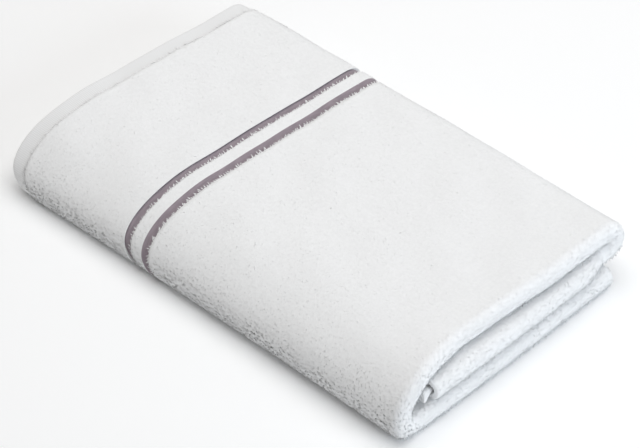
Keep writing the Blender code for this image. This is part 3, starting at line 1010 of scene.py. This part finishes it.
class TowelPile(bpy.types.PropertyGroup):
    """The cotton loops."""
    pitch: length("Pitch", "Distance between loops", 1.5 * MM)
    border: length("Border", "Loops keep this far before a strip", 0.15 * MM)
    fringe: length("Fringe", "And this far past it, where they lean out over it", 0.5 * MM)
    tips: length("Tips", "Height of the loops' tips over the middle of the cloth", 2.04 * MM)
    pressed: length("Pressed", "How much lower the tips are on the top of the stack", 0.13 * MM)
    fur: length("Fur", "How much farther single loops stand out at the folded end", 1.2 * MM)
    width: length("Width", "Distance between a loop's feet", 0.4 * MM)
    lean: length("Lean", "How far a loop leans over", 1.8 * MM)
    curl: length("Curl", "How far a loop is twisted sideways", 0.15 * MM)
    yarn: length("Yarn", "Thickness of the loops' yarn", 0.46 * MM)
    tuft: length("Tuft", "Thickness of the tufts that lean over a strip", 1.0 * MM)
    tuft_gap: length("Tuft gap", "Distance between those tufts", 1.5 * MM)
    tuft_reach: length("Tuft reach", "How far they lean out", 1.6 * MM)
    brush_length: length("Brush length", "Size of the patches that lean one way", 60.0 * MM)
    brush: turning("Brush", "How far the patches turn from the nap", 0.5)
    stray: turning("Stray", "How far single loops turn from the nap", 0.35)
    disorder: FloatProperty(name="Disorder", description="How irregularly the loops stand, in pitches",
                            default=0.35, min=0, max=1, subtype="FACTOR")


class TowelStitching(bpy.types.PropertyGroup):
    """The lockstitch along each hem."""
    inset: length("Inset", "Distance from the loops' border to the stitches", 0.7 * MM)
    length: length("Stitch length", "Length of one stitch", 2.8 * MM)
    thread: length("Thread", "Thickness of the sewing thread", 0.2 * MM)


class TowelColours(bpy.types.PropertyGroup):
    """The colours."""
    terry: colour("Terry", "White cotton loops", "#F1F2F3")
    terry_shade: colour("Terry, darker", "The loops' darker patches", "#EAEBEC")
    hem: colour("Hem", "Plain woven hem", "#F2F3F4")
    # painted shade: the hem's darker colour between its threads stands in for the shade in the weave's
    # gaps
    hem_painted_shade: colour("Hem, darker", "Between the hem's threads", "#E6E7E8")
    # painted shade: the white sewing thread is coloured grey, for the shade where the stitches sink into
    # the hem
    thread: colour("Thread", "Sewing thread, drawn in between the hem's threads", "#D6D7D9")
    band: colour("Band", "Dyed weft floats", "#9C9098")
    band_shade: colour("Band, darker", "The floats' darker streaks", "#877D85")
    paper: colour("Paper", "Background paper", "#FDFEFF")


class TowelStudio(bpy.types.PropertyGroup):
    """The lights."""
    overhead: power("Overhead", "Power of the overhead softbox", 18.0)
    right: power("Right", "Power of the cool softbox on the right", 7.8)
    ambient: FloatProperty(name="Ambient", description="Brightness of the surrounding air",
                           default=0.25, min=0)


def set_up_studio():
    make_floor()
    make_lights()
    make_camera()


class Step:
    """One step of the build: it runs its function."""
    def execute(self, context):
        self.build()
        return {"FINISHED"}


class TOWEL_OT_weave_cloth(Step, bpy.types.Operator):
    """Fold the cloth and give it its hems and bands"""
    bl_idname = "towel.weave_cloth"
    bl_label = "Weave and Fold Cloth"
    build = staticmethod(make_cloth)


class TOWEL_OT_raise_pile(Step, bpy.types.Operator):
    """Cover the cloth that shows with cotton loops"""
    bl_idname = "towel.raise_pile"
    bl_label = "Raise Pile"
    build = staticmethod(make_pile)


class TOWEL_OT_stitch_hems(Step, bpy.types.Operator):
    """Sew the hems"""
    bl_idname = "towel.stitch_hems"
    bl_label = "Stitch Hems"
    build = staticmethod(make_stitching)


class TOWEL_OT_set_up_studio(Step, bpy.types.Operator):
    """Lay out the paper, the lights and the camera"""
    bl_idname = "towel.set_up_studio"
    bl_label = "Set Up Studio"
    build = staticmethod(set_up_studio)


class TOWEL_PT_sidebar(bpy.types.Panel):
    """The towel's sizes, colours and steps"""
    bl_idname = "TOWEL_PT_sidebar"
    bl_label = "Folded Towel"
    bl_space_type = "VIEW_3D"
    bl_region_type = "UI"
    bl_category = "Towel"

    def draw(self, context):
        for step in OPERATORS:
            self.layout.operator(step.bl_idname)
        for name, group in GROUPS.items():
            box = self.layout.box()
            box.label(text=group.__doc__)
            for prop in group.__annotations__:
                box.prop(getattr(context.scene, name), prop)


GROUPS = {
    "towel_cloth": TowelCloth,
    "towel_pile": TowelPile,
    "towel_stitching": TowelStitching,
    "towel_colours": TowelColours,
    "towel_studio": TowelStudio,
}
OPERATORS = (TOWEL_OT_weave_cloth, TOWEL_OT_raise_pile, TOWEL_OT_stitch_hems, TOWEL_OT_set_up_studio)


def register():
    for kind in (*GROUPS.values(), *OPERATORS, TOWEL_PT_sidebar):
        bpy.utils.register_class(kind)
    for name, group in GROUPS.items():
        setattr(bpy.types.Scene, name, PointerProperty(type=group))


def unregister():
    for name in GROUPS:
        delattr(bpy.types.Scene, name)
    for kind in reversed((*GROUPS.values(), *OPERATORS, TOWEL_PT_sidebar)):
        bpy.utils.unregister_class(kind)


def main():
    register()
    bpy.ops.towel.weave_cloth()
    bpy.ops.towel.raise_pile()
    bpy.ops.towel.stitch_hems()
    bpy.ops.towel.set_up_studio()


if __name__ == "__main__":
    main()
